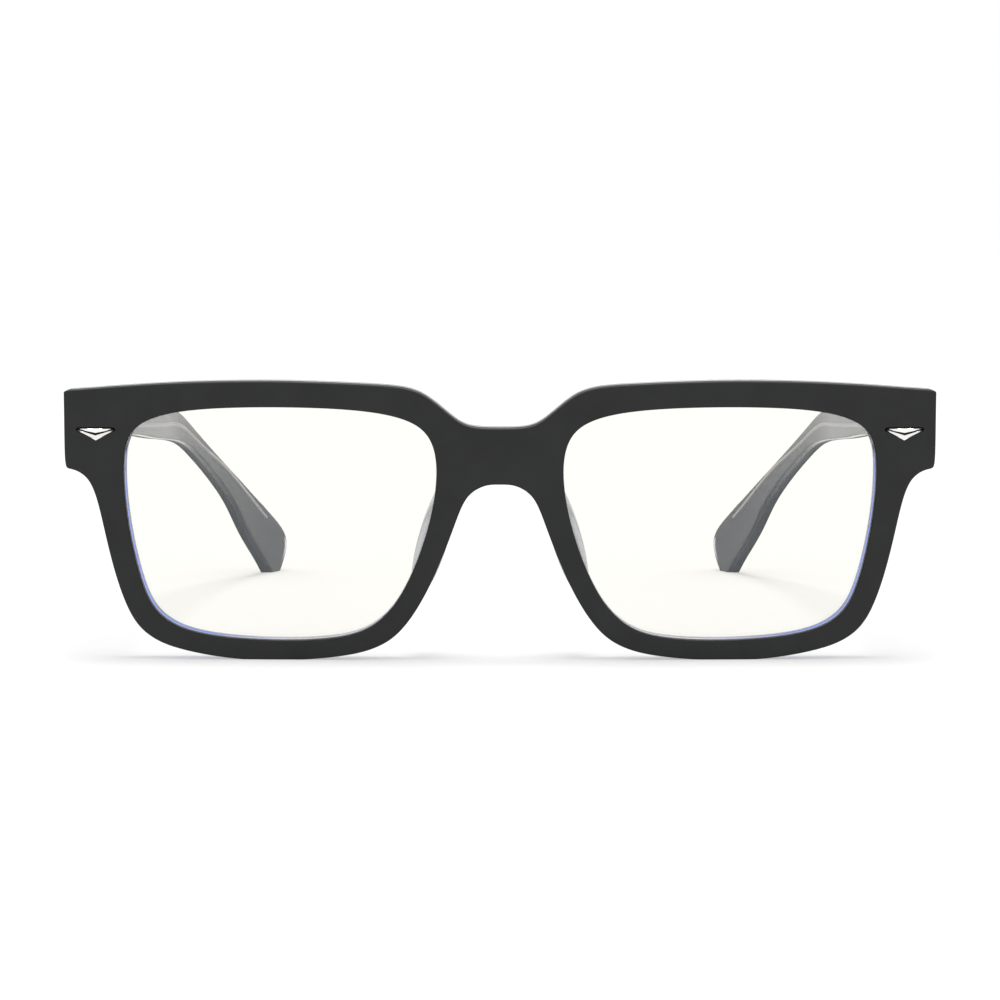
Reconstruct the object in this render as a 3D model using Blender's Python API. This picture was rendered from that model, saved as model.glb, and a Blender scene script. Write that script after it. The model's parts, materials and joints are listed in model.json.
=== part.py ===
"""Blue light glasses: a laminated square front, two lenses and two folding temples.

Run with: blender --background --python part.py

+X is the wearer's left, -Y is the way the glasses look, +Z is up. The glasses stand open on the
lower rims and the temple tips. Sizes below are millimetres; meshes are made in metres.
"""

import math

import bmesh
import bpy
from mathutils import Matrix, Vector

MM = 0.001
GAP = 0.3  # left between pieces that touch
LEFT, RIGHT = 1, -1  # the wearer's sides
SIDES = {"left": LEFT, "right": RIGHT}

# Front: cut flat, wrapped round an upright cylinder, then leaned forwards at the top.
WRAP_RADIUS = 1200.0
FRONT_LEAN = math.radians(4.0)
FACE_THICK = 2.0
BACKING_THICK = 2.1
BACKING_FRONT = FACE_THICK + GAP
FRONT_DEPTH = BACKING_FRONT + BACKING_THICK
SLICE = 6.0  # width of the flat strips that follow a curve

# Half of the front's outline (across, height), from the bridge's top round to the nose arch.
FRONT_HALF = (
    (0.0, 39.1), (5.3, 39.1), (8.0, 41.0), (11.5, 44.1), (14.8, 45.9), (21.0, 46.4), (37.9, 47.1),
    (56.1, 46.6), (70.0, 45.4), (72.7, 45.3), (72.7, 44.8), (72.7, 42.3), (72.8, 35.2), (72.7, 32.6),
    (72.3, 32.1), (71.0, 32.0), (68.9, 30.7), (67.7, 28.0), (66.8, 24.2), (65.0, 15.1), (62.2, 6.7),
    (58.8, 3.4), (54.1, 1.4), (41.8, -0.7), (26.2, 0.3), (20.3, 2.0), (16.4, 4.7), (12.2, 11.2),
    (8.6, 19.9), (6.7, 25.5), (5.2, 28.3), (2.3, 29.8), (0.0, 29.7),
)
LENS_OPENING = (
    (11.1, 37.8), (15.5, 41.1), (26.6, 42.7), (49.5, 42.7), (58.6, 40.9), (62.4, 38.0), (63.1, 31.8),
    (62.4, 22.3), (60.1, 11.8), (57.3, 6.5), (49.2, 3.3), (27.0, 2.9), (20.0, 6.1), (15.7, 11.9),
    (11.8, 22.1), (10.2, 31.3),
)

# Lenses sit in a groove cut half into each layer.
LENS_TUCK = 0.5
LENS_FRONT = 1.2
LENS_THICK = 1.8

# Nose pads: a bean along the inner rim, flat against the backing.
PAD_HALF = (1.9, 5.0, 11.0)  # across, depth, height
PAD_CENTRE = (11.2, FRONT_DEPTH + GAP + 0.8, 20.2)
PAD_TILT = math.radians(16.5)
PAD_FLARE = math.radians(20.0)

# Chevron plaques, let into the face at both ends.
PLAQUE_ACROSS = 67.4
PLAQUE_HALF_WIDTH = 3.05
PLAQUE_TOP = 39.0
PLAQUE_POINT = 37.1
PLAQUE_STANDS = 0.45
PLAQUE_SUNK = 0.5
PLAQUE_REACH = 2.5  # the sharp ends of a pocket run on this many clearances
POCKET_STANDS = 1.0  # how far a pocket's cutter stands out of the face

# Hinges: upright pins behind the end pieces.
PIN_ACROSS = 66.6
PIN_BEHIND = 2.2  # pin centre behind the backing
HINGE_HEIGHT = 38.0
BARREL_RADIUS = 1.5
BARREL_TALL = 1.7
BARREL_PITCH = 1.9
BORE_RADIUS = 0.75
SHAFT_RADIUS = 0.65
HEAD_RADIUS = 1.25
HEAD_TALL = 0.6
LEAF_THICK = 0.8
LEAF_HALF_WIDE = 2.3
LEAF_HALF_TALL = 2.8
BORE_SPARE = 1.0  # bore cutters stick out this far
HEAD_SUNK = 0.1
WEB_HALF_WIDE = 1.1  # the front leaf's webs, from the plate to the barrels
WEB_IN_PLATE = 0.4
WEB_SHORT = 0.1
TEMPLE_WEB_ACROSS = (0.3, 2.2)  # from the pin centre outwards
TEMPLE_WEB_BACK = (-0.9, 1.2)  # from the pin centre backwards
TEMPLE_LEAF_AHEAD = 3.4  # starts this far ahead of the pin centre
TEMPLE_LEAF_SUNK = 0.05
TEMPLE_LEAF_HALF_TALL = 2.0
TEMPLE_BORE_HALF = 4.0

# Temples: laid out flat as (back, height), then curved in towards the ears and thinned.
TEMPLE_INNER = 68.6  # inner face from the middle, at the front
TEMPLE_TAPER = 0.06
EAR_START = 75.0
EAR_CURVE = 0.00276
THIN_FROM, THIN_TO = 10.0, 105.0
THIN_DOWN = 0.28
LINING_THICK = 1.3  # clear inner layer
COVER_THICK = 2.0  # black outer layer
TEMPLE_OUTLINE = (
    (-8.0, 44.2), (10.0, 43.7), (30.0, 42.3), (58.0, 40.1), (76.0, 38.9), (86.0, 37.7), (96.0, 33.9),
    (106.5, 29.4), (120.0, 23.0), (131.0, 16.7), (140.2, 11.2), (144.3, 7.6), (144.4, 4.2), (140.8, -1.0),
    (138.8, -1.6), (135.4, 2.6), (129.8, 7.2), (125.2, 11.6), (120.4, 17.0), (111.5, 22.6), (101.0, 27.6),
    (92.0, 31.1), (80.0, 32.4), (60.0, 33.7), (42.0, 35.9), (24.0, 35.6), (10.0, 32.7), (-8.0, 31.8),
)
LEAF_END = 18.5
LEAF_CENTRE = 38.3
OPEN_AHEAD = 4.0  # the leaf's pocket runs this far out of the temple's end
OPEN_INSIDE = 1.0  # and this far out of its inner face
# The space that the front takes from the temple ends: across on both sides of the pin, back, height.
FRONT_SPACE_ACROSS = (4.0, 8.0)
FRONT_SPACE_BACK = -20.0
FRONT_SPACE_TOP = 60.0

# Core wire: in a round channel, half in the lining and half in the cover.
WIRE_RADIUS = 0.42
WIRE_CHANNEL = 0.66
WIRE_OUT = LINING_THICK + GAP / 2
WIRE_PATH = (
    (20.5, 38.5), (40.0, 37.4), (56.0, 36.4), (74.0, 35.5), (87.0, 35.2), (96.0, 32.2), (107.0, 28.0),
    (117.0, 24.3), (127.0, 18.2), (136.3, 12.1),
)

HALF_LENGTH = 70.535  # the origin lies under the middle of the open glasses
LOOP_STEPS = 3

BLACK = ("black_acetate", (0.03, 0.032, 0.034), 0.35, 0.0, 1.0)
CLEAR = ("clear_acetate", (0.80, 0.82, 0.86), 0.15, 0.0, 0.5)
LENS = ("lens", (0.98, 0.97, 0.90), 0.03, 0.0, 0.2)
SILVER = ("polished_silver", (0.85, 0.84, 0.82), 0.15, 1.0, 1.0)
STEEL = ("hinge_steel", (0.60, 0.60, 0.62), 0.3, 1.0, 1.0)


def clear_scene():
    """Remove whatever the file opened with."""
    for obj in list(bpy.data.objects):
        bpy.data.objects.remove(obj, do_unlink=True)


def make_collection(name):
    """A new collection in the scene."""
    collection = bpy.data.collections.new(name)
    bpy.context.scene.collection.children.link(collection)
    return collection


def make_material(name, colour, roughness, metallic, alpha):
    """A plain Principled material, made once."""
    if name in bpy.data.materials:
        return bpy.data.materials[name]
    material = bpy.data.materials.new(name)
    material.use_nodes = True
    shader = material.node_tree.nodes["Principled BSDF"]
    shader.inputs["Base Color"].default_value = (*colour, 1.0)
    shader.inputs["Roughness"].default_value = roughness
    shader.inputs["Metallic"].default_value = metallic
    shader.inputs["Alpha"].default_value = alpha
    return material


def offset_loop(points, distance):
    """Move a clockwise loop of control points outwards."""
    moved = []
    for index, point in enumerate(points):
        before = Vector(points[index - 1])
        after = Vector(points[(index + 1) % len(points)])
        along = (after - before).normalized()
        moved.append((point[0] - along.y * distance, point[1] + along.x * distance))
    return moved


def mirrored(points):
    """The same loop on the other side of the bridge."""
    return [(-across, height) for across, height in points]


def front_point(across, depth, height):
    """Metres from a flat place on the front (across, depth behind the face, height)."""
    angle = across / WRAP_RADIUS
    radius = WRAP_RADIUS - depth
    return lean_point(radius * math.sin(angle), WRAP_RADIUS - radius * math.cos(angle), height)


def lean_point(across, back, height):
    """Metres from a place on the front before it leans."""
    return Matrix.Rotation(FRONT_LEAN, 3, "X") @ (Vector((across, back, height)) * MM)


def inner_face(back):
    """Distance of a temple's inner face from the middle plane."""
    return TEMPLE_INNER - TEMPLE_TAPER * back - EAR_CURVE * max(0.0, back - EAR_START) ** 2


def temple_point(side, back, out, height):
    """Metres from a place on a temple (back, outwards from the inner face, height)."""
    along = min(max((back - THIN_FROM) / (THIN_TO - THIN_FROM), 0.0), 1.0)
    return Vector((side * (inner_face(back) + out * (1 - THIN_DOWN * along)), back, height)) * MM


def pin_back():
    """How far back the pins stand before the front leans."""
    angle = math.asin(PIN_ACROSS / (WRAP_RADIUS - FRONT_DEPTH))
    return WRAP_RADIUS - (WRAP_RADIUS - FRONT_DEPTH) * math.cos(angle) + PIN_BEHIND


def point_outwards(solid):
    """Turn every face of a closed solid outwards."""
    bmesh.ops.recalc_face_normals(solid, faces=solid.faces)
    if solid.calc_volume(signed=True) < 0:
        bmesh.ops.reverse_faces(solid, faces=solid.faces)


def mesh_object(name, mesh_in, collection):
    """Turn a bmesh into a named object."""
    point_outwards(mesh_in)
    mesh = bpy.data.meshes.new(name)
    mesh_in.to_mesh(mesh)
    mesh_in.free()
    obj = bpy.data.objects.new(name, mesh)
    collection.objects.link(obj)
    return obj


def plate(name, loops, low, high, place, collection, strips=None, kind="NURBS"):
    """Extrude flat loops from depth low to high, and put each corner where place says."""
    curve = bpy.data.curves.new(name, "CURVE")
    curve.dimensions = "2D"
    curve.fill_mode = "BOTH"
    curve.extrude = (high - low) / 2
    curve.resolution_u = LOOP_STEPS
    for loop in loops:
        spline = curve.splines.new(kind)
        spline.points.add(len(loop) - 1)
        for control, point in zip(spline.points, loop):
            control.co = (*point, 0.0, 1.0)
        spline.use_cyclic_u = True
        spline.order_u = 4 if kind == "NURBS" else 2
    holder = bpy.data.objects.new(name, curve)
    collection.objects.link(holder)
    solid = bmesh.new()
    flat = bpy.data.meshes.new_from_object(holder.evaluated_get(bpy.context.evaluated_depsgraph_get()))
    solid.from_mesh(flat)
    bpy.data.meshes.remove(flat)
    bpy.data.objects.remove(holder)
    bmesh.ops.remove_doubles(solid, verts=solid.verts, dist=0.01)
    slice_along(solid, strips)
    for vert in solid.verts:
        vert.co = place(vert.co.x, vert.co.z + (low + high) / 2, vert.co.y)
    return mesh_object(name, solid, collection)


def slice_along(solid, strips):
    """Cut a flat plate into strips so that it can follow a curve."""
    if strips is None:
        return
    start, end = strips
    for step in range(int((end - start) / SLICE) + 1):
        geometry = solid.verts[:] + solid.edges[:] + solid.faces[:]
        bmesh.ops.bisect_plane(
            solid, geom=geometry, dist=0.001, plane_co=(start + step * SLICE, 0, 0), plane_no=(1, 0, 0)
        )


def block(name, low, high, place, collection):
    """A box between two corners, each corner put where place says."""
    solid = bmesh.new()
    bmesh.ops.create_cube(solid, size=1.0)
    for vert in solid.verts:
        spot = [lo + (hi - lo) * (c + 0.5) for lo, hi, c in zip(low, high, vert.co)]
        vert.co = place(*spot)
    return mesh_object(name, solid, collection)


def upright(name, side, radius, low, high, collection):
    """A round bar on a hinge's pin line, between two heights from the hinge's middle."""
    solid = bmesh.new()
    bmesh.ops.create_cone(
        solid, cap_ends=True, segments=24, radius1=radius, radius2=radius, depth=high - low
    )
    for vert in solid.verts:
        vert.co = lean_point(
            side * PIN_ACROSS + vert.co.x,
            pin_back() + vert.co.y,
            HINGE_HEIGHT + (low + high) / 2 + vert.co.z,
        )
    return mesh_object(name, solid, collection)


def tube(name, side, radius, path, collection):
    """A round bar along a smooth path on a temple."""
    curve = bpy.data.curves.new(name, "CURVE")
    curve.dimensions = "3D"
    curve.bevel_depth = radius * MM
    curve.bevel_resolution = 1
    curve.use_fill_caps = True
    curve.resolution_u = 3
    spline = curve.splines.new("NURBS")
    spline.points.add(len(path) - 1)
    for control, (back, height) in zip(spline.points, path):
        control.co = (*temple_point(side, back, WIRE_OUT, height), 1.0)
    spline.order_u = 4
    spline.use_endpoint_u = True
    holder = bpy.data.objects.new(name, curve)
    collection.objects.link(holder)
    solid = bmesh.new()
    graph = bpy.context.evaluated_depsgraph_get()
    round_bar = bpy.data.meshes.new_from_object(holder.evaluated_get(graph))
    solid.from_mesh(round_bar)
    bpy.data.meshes.remove(round_bar)
    bpy.data.objects.remove(holder)
    bmesh.ops.remove_doubles(solid, verts=solid.verts, dist=0.000001)
    return mesh_object(name, solid, collection)


def combine(target, tool, operation):
    """Add or cut away another solid."""
    tool.hide_render = True
    tool.display_type = "WIRE"
    modifier = target.modifiers.new(tool.name, "BOOLEAN")
    modifier.operation = operation
    modifier.solver = "EXACT"
    modifier.object = tool


def keep_side(obj, point, normal):
    """Cut an object flat, dropping what lies on the normal's side of the point."""
    solid = bmesh.new()
    solid.from_mesh(obj.data)
    geometry = solid.verts[:] + solid.edges[:] + solid.faces[:]
    bmesh.ops.bisect_plane(
        solid, geom=geometry, dist=0.000001, plane_co=point, plane_no=normal, clear_outer=True
    )
    bmesh.ops.holes_fill(solid, edges=[edge for edge in solid.edges if edge.is_boundary], sides=0)
    point_outwards(solid)
    solid.to_mesh(obj.data)
    solid.free()


def finish(obj, material, empty):
    """Give an object its material and hang it on an empty."""
    obj.data.materials.clear()
    obj.data.materials.append(make_material(*material))
    obj.data.transform(Matrix.Translation(-empty.location))
    obj.parent = empty
    for modifier in obj.modifiers:
        tool = modifier.object
        if tool.parent is None:
            tool.data.transform(Matrix.Translation(-empty.location))
            tool.parent = empty


def front_outline():
    """The whole front's outline as one loop."""
    return list(FRONT_HALF) + [(-across, height) for across, height in reversed(FRONT_HALF[1:-1])]


def lens_loop(side, distance):
    """A lens opening's loop, made larger by a distance."""
    loop = offset_loop(LENS_OPENING, distance)
    return loop if side == LEFT else mirrored(loop)


def plaque_loop(side, spare):
    """The plaque's triangle, made larger by a distance."""
    wide = PLAQUE_HALF_WIDTH + spare * PLAQUE_REACH
    centre = side * PLAQUE_ACROSS
    top, point = PLAQUE_TOP + spare, PLAQUE_POINT - spare
    return [(centre - wide, top), (centre + wide, top), (centre, point)]


def build_front(parts, cutters, root):
    """The black face and the clear backing, with the lens groove cut into both."""
    span = (-12 * SLICE, 12 * SLICE)
    loops = [front_outline(), lens_loop(LEFT, 0.0), lens_loop(RIGHT, 0.0)]
    face = plate("front_face", loops, 0.0, FACE_THICK, front_point, parts, span)
    keep_side(face, (0, 0, 0), (0, 0, -1))
    backing = plate("front_backing", loops, BACKING_FRONT, FRONT_DEPTH, front_point, parts, span)
    keep_side(backing, (0, 0, 0), (0, 0, -1))
    for label, side in SIDES.items():
        start = LENS_FRONT - GAP
        end = LENS_FRONT + LENS_THICK + GAP
        reach = (SLICE, 11 * SLICE) if side == LEFT else (-11 * SLICE, -SLICE)
        groove = plate(
            f"groove_{label}", [lens_loop(side, LENS_TUCK + GAP)], start, end, front_point, cutters, reach
        )
        combine(face, groove, "DIFFERENCE")
        combine(backing, groove, "DIFFERENCE")
        pocket = plate(
            f"plaque_pocket_{label}", [plaque_loop(side, GAP)], -POCKET_STANDS, PLAQUE_SUNK + GAP,
            front_point, cutters, kind="POLY",
        )
        combine(face, pocket, "DIFFERENCE")
        combine(backing, leaf_plate(f"leaf_pocket_{label}", side, GAP, cutters), "DIFFERENCE")
    finish(face, BLACK, root)
    finish(backing, CLEAR, root)


def leaf_plate(name, side, spare, collection):
    """The front leaf's flat plate, or its pocket when made larger."""
    wide, tall = LEAF_HALF_WIDE + spare, LEAF_HALF_TALL + spare
    low = (side * PIN_ACROSS - wide, FRONT_DEPTH - LEAF_THICK - spare, HINGE_HEIGHT - tall)
    high = (side * PIN_ACROSS + wide, FRONT_DEPTH + spare, HINGE_HEIGHT + tall)
    return block(name, low, high, front_point, collection)


def build_lenses(parts, root):
    """One lens in each rim."""
    for label, side in SIDES.items():
        reach = (SLICE, 11 * SLICE) if side == LEFT else (-11 * SLICE, -SLICE)
        lens = plate(
            f"lens_{label}", [lens_loop(side, LENS_TUCK)], LENS_FRONT, LENS_FRONT + LENS_THICK,
            front_point, parts, reach,
        )
        finish(lens, LENS, root)


def build_nose_pads(parts, root):
    """Bean-shaped clear pads behind the inner rims."""
    for label, side in SIDES.items():
        solid = bmesh.new()
        bmesh.ops.create_uvsphere(solid, u_segments=20, v_segments=12, radius=1.0)
        turn = Matrix.Rotation(-side * PAD_TILT, 3, "Y") @ Matrix.Rotation(-side * PAD_FLARE, 3, "Z")
        centre = Vector((side * PAD_CENTRE[0], PAD_CENTRE[1], PAD_CENTRE[2]))
        for vert in solid.verts:
            spot = centre + turn @ Vector([c * half for c, half in zip(vert.co, PAD_HALF)])
            vert.co = lean_point(*spot)
        pad = mesh_object(f"nose_pad_{label}", solid, parts)
        flat = front_point(side * PAD_CENTRE[0], FRONT_DEPTH + GAP, PAD_CENTRE[2])
        keep_side(pad, flat, Matrix.Rotation(FRONT_LEAN, 3, "X") @ Vector((0, -1, 0)))
        finish(pad, CLEAR, root)


def build_plaques(parts, root):
    """Polished chevrons in their pockets."""
    for label, side in SIDES.items():
        plaque = plate(
            f"plaque_{label}", [plaque_loop(side, 0.0)], -PLAQUE_STANDS, PLAQUE_SUNK, front_point,
            parts, kind="POLY",
        )
        finish(plaque, SILVER, root)


def barrel(name, side, slot, collection):
    """One hinge barrel: slot -1, 0 or 1 up the pin."""
    middle, half = slot * BARREL_PITCH, BARREL_TALL / 2
    return upright(name, side, BARREL_RADIUS, middle - half, middle + half, collection)


def build_front_leaves(parts, cutters, root):
    """Front hinge leaves: a let-in plate with two barrels on webs, and the screws."""
    end = 1.5 * BARREL_PITCH
    for label, side in SIDES.items():
        leaf = leaf_plate(f"front_hinge_leaf_{label}", side, 0.0, parts)
        bore = upright(f"front_bore_{label}", side, BORE_RADIUS, -end - BORE_SPARE, end + BORE_SPARE, cutters)
        for slot in (-1, 1):
            middle = HINGE_HEIGHT + slot * BARREL_PITCH
            start = pin_back() - PIN_BEHIND - WEB_IN_PLATE
            low = (side * PIN_ACROSS - WEB_HALF_WIDE, start, middle - BARREL_TALL / 2)
            high = (side * PIN_ACROSS + WEB_HALF_WIDE, pin_back() - WEB_SHORT, middle + BARREL_TALL / 2)
            web = block(f"front_web_{label}_{slot + 1}", low, high, lean_point, cutters)
            combine(leaf, web, "UNION")
            combine(leaf, barrel(f"front_barrel_{label}_{slot + 1}", side, slot, cutters), "UNION")
        combine(leaf, bore, "DIFFERENCE")
        finish(leaf, STEEL, root)
        screw = upright(f"hinge_screw_{label}", side, SHAFT_RADIUS, -end, end + 2 * HEAD_SUNK, parts)
        head = upright(f"screw_head_{label}", side, HEAD_RADIUS, end + HEAD_SUNK, end + HEAD_TALL, cutters)
        combine(screw, head, "UNION")
        finish(screw, STEEL, root)


def build_temple(label, side, parts, cutters, pivot):
    """One temple: clear lining, black cover, core wire and hinge leaf."""

    def place(back, out, height):
        return temple_point(side, back, out, height)

    strips = (2 * SLICE, 23 * SLICE)
    cover_in = LINING_THICK + GAP
    lining = plate(f"temple_lining_{label}", [TEMPLE_OUTLINE], 0.0, LINING_THICK, place, parts, strips)
    cover = plate(
        f"temple_cover_{label}", [TEMPLE_OUTLINE], cover_in, cover_in + COVER_THICK, place, parts, strips
    )
    low = (side * (PIN_ACROSS - FRONT_SPACE_ACROSS[0]), FRONT_SPACE_BACK, 0.0)
    high = (side * (PIN_ACROSS + FRONT_SPACE_ACROSS[1]), FRONT_DEPTH + GAP, FRONT_SPACE_TOP)
    ahead = block(f"front_space_{label}", low, high, front_point, cutters)
    for layer in (lining, cover):
        keep_side(layer, (0, 0, 0), (0, 0, -1))
        combine(layer, ahead, "DIFFERENCE")
    channel = tube(f"wire_channel_{label}", side, WIRE_CHANNEL, longer(WIRE_PATH), cutters)
    for layer in (lining, cover):
        combine(layer, channel, "DIFFERENCE")
    low = (pin_back() - TEMPLE_LEAF_AHEAD, TEMPLE_LEAF_SUNK, LEAF_CENTRE - TEMPLE_LEAF_HALF_TALL)
    high = (LEAF_END, LEAF_THICK + TEMPLE_LEAF_SUNK, LEAF_CENTRE + TEMPLE_LEAF_HALF_TALL)
    leaf = block(f"temple_hinge_leaf_{label}", low, high, place, parts)
    low = (low[0] - OPEN_AHEAD, -OPEN_INSIDE, low[2] - GAP)
    high = (high[0] + GAP, high[1] + GAP, high[2] + GAP)
    pocket = block(f"temple_leaf_pocket_{label}", low, high, place, cutters)
    combine(lining, pocket, "DIFFERENCE")
    near, far = (side * (PIN_ACROSS + reach) for reach in TEMPLE_WEB_ACROSS)
    first, last = (pin_back() + reach for reach in TEMPLE_WEB_BACK)
    low = (near, first, HINGE_HEIGHT - BARREL_TALL / 2)
    high = (far, last, HINGE_HEIGHT + BARREL_TALL / 2)
    combine(leaf, block(f"temple_web_{label}", low, high, lean_point, cutters), "UNION")
    combine(leaf, barrel(f"temple_barrel_{label}", side, 0, cutters), "UNION")
    bore = (-TEMPLE_BORE_HALF, TEMPLE_BORE_HALF)
    combine(leaf, upright(f"temple_bore_{label}", side, BORE_RADIUS, *bore, cutters), "DIFFERENCE")
    wire = tube(f"core_wire_{label}", side, WIRE_RADIUS, WIRE_PATH, parts)
    finish(lining, CLEAR, pivot)
    finish(cover, BLACK, pivot)
    finish(leaf, STEEL, pivot)
    finish(wire, STEEL, pivot)


def longer(path):
    """The wire's path with a little room at each end."""
    first, last = Vector(path[0]), Vector(path[-1])
    ahead = first + (first - Vector(path[1])).normalized() * GAP
    behind = last + (last - Vector(path[-2])).normalized() * GAP
    return [tuple(ahead), *path[1:-1], tuple(behind)]


def make_empty(name, location, parent, collection):
    """An empty to hang pieces on."""
    empty = bpy.data.objects.new(name, None)
    empty.location = location
    empty.parent = parent
    collection.objects.link(empty)
    return empty


def main():
    """Build every piece, then stand the glasses over the origin."""
    clear_scene()
    parts = make_collection("blue_light_glasses")
    cutters = make_collection("cutters")
    root = make_empty("glasses_root", (0, 0, 0), None, parts)
    build_front(parts, cutters, root)
    build_lenses(parts, root)
    build_nose_pads(parts, root)
    build_plaques(parts, root)
    build_front_leaves(parts, cutters, root)
    for label, side in SIDES.items():
        pin = lean_point(side * PIN_ACROSS, pin_back(), HINGE_HEIGHT)
        pivot = make_empty(f"temple_pivot_{label}", pin, root, parts)
        build_temple(label, side, parts, cutters, pivot)
    root.location.y = -HALF_LENGTH * MM
    bpy.context.view_layer.update()


main()
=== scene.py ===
import json
import logging
import math
from dataclasses import dataclass, field
from enum import Enum

import bmesh
import bpy
import numpy as np
from mathutils import Matrix


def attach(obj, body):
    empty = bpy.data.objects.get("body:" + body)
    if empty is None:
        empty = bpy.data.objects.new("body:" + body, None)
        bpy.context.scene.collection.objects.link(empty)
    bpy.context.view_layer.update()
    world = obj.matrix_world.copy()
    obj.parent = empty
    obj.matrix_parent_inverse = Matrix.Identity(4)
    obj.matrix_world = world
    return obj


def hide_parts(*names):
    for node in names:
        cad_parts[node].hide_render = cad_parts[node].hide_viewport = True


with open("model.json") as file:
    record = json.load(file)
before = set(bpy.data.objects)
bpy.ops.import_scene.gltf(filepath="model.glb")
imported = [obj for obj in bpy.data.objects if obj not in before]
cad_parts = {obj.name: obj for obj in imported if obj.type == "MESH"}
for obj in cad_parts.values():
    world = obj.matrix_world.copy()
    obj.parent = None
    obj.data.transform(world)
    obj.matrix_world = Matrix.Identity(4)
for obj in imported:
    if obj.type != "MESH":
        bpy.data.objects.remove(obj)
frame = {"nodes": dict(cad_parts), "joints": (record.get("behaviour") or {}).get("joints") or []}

"""Looks of the blue light glasses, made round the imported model.

The front is two laminated sheets, black over clear, wrapped gently round the face. The lenses sit in
a groove between the sheets. Each temple is a black cover on a clear lining with a core wire inside.
Sizes are millimetres in the maker's flat layout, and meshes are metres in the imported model's frame.
"""

log = logging.getLogger("glasses")

MM = 0.001
MERGE = 2e-7  # metres: points nearer than this are one point
SHARP = 32.0  # degrees past which a corner stays sharp
PAD_SHARP = 50.0
PLAQUE_SHARP = 20.0
# Laminated sheets reach this far past their seam, so that no air is left in it, and each nose pad
# stands this far off the backing.
SKIN = 0.01

FOLD_JOINT = "left_temple_fold"

Triple = tuple[float, float, float]

ACETATE_IOR = 1.49
LENS_IOR = 1.5
RELIEF = 0.00002  # metres: the deepest marks in a finish
EDGE_TO_TURN = 0.7  # an edge radius is at most this share of the outline's own turn
STRAIGHT = 1e-9  # a cross product below this is a straight stretch

FRONT_DEPTH = 4.4  # both sheets of the front
PIN_ACROSS = 66.6  # hinge pin, from the middle
PIN_BEHIND = 2.2
HINGE_HEIGHT = 38.0

FRONT_HALF = (
    (0.0, 39.1), (5.3, 39.1), (8.0, 41.0), (11.5, 44.1), (14.8, 45.9), (21.0, 46.4), (37.9, 47.1),
    (56.1, 46.6), (70.0, 45.4), (72.7, 45.3), (72.7, 44.8), (72.7, 42.3), (72.8, 35.2), (72.7, 32.6),
    (72.3, 32.1), (71.0, 32.0), (68.9, 30.7), (67.7, 28.0), (66.8, 24.2), (65.0, 15.1), (62.2, 6.7),
    (58.8, 3.4), (54.1, 1.4), (41.8, -0.7), (26.2, 0.3), (20.3, 2.0), (16.4, 4.7), (12.2, 11.2),
    (8.6, 19.9), (6.7, 25.5), (5.2, 28.3), (2.3, 29.8), (0.0, 29.7),
)
LENS_OPENING = (
    (11.1, 37.8), (15.5, 41.1), (26.6, 42.7), (49.5, 42.7), (58.6, 40.9), (62.4, 38.0), (63.1, 31.8),
    (62.4, 22.3), (60.1, 11.8), (57.3, 6.5), (49.2, 3.3), (27.0, 2.9), (20.0, 6.1), (15.7, 11.9),
    (11.8, 22.1), (10.2, 31.3),
)
# Which place on the lens opening faces which place on the front's half outline, both counted in
# control points. The last outline span is the middle of the bridge.
FACING = (
    (0.0, -0.35), (3.0, 0.5), (5.0, 1.5), (6.0, 2.5), (7.0, 3.6), (9.3, 4.6), (12.0, 5.4), (14.0, 5.85),
    (16.5, 6.3), (18.0, 6.85), (19.0, 7.7), (20.0, 8.6), (21.5, 9.4), (23.0, 10.35), (24.0, 11.0),
    (26.0, 12.3), (27.0, 13.1), (28.0, 13.9), (29.0, 14.4), (30.5, 14.8), (32.0, 15.05), (33.0, 15.65),
)
TEMPLE_OUTLINE = (
    (-8.0, 44.2), (10.0, 43.7), (30.0, 42.3), (58.0, 40.1), (76.0, 38.9), (86.0, 37.7), (96.0, 33.9),
    (106.5, 29.4), (120.0, 23.0), (131.0, 16.7), (140.2, 11.2), (144.3, 7.6), (144.4, 4.2), (140.8, -1.0),
    (138.8, -1.6), (135.4, 2.6), (129.8, 7.2), (125.2, 11.6), (120.4, 17.0), (111.5, 22.6), (101.0, 27.6),
    (92.0, 31.1), (80.0, 32.4), (60.0, 33.7), (42.0, 35.9), (24.0, 35.6), (10.0, 32.7), (-8.0, 31.8),
)
WIRE_PATH = (
    (20.5, 38.5), (40.0, 37.4), (56.0, 36.4), (74.0, 35.5), (87.0, 35.2), (96.0, 32.2), (107.0, 28.0),
    (117.0, 24.3), (127.0, 18.2), (136.3, 12.1),
)


class Side(Enum):
    """The wearer's sides, as the sign of X."""

    LEFT = 1
    RIGHT = -1

    @property
    def label(self) -> str:
        """The side's word in piece names."""
        return self.name.lower()


class Layer(Enum):
    """The two laminated sheets."""

    OUTER = "outer"
    INNER = "inner"


# ---------------------------------------------------------------- shapes


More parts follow.
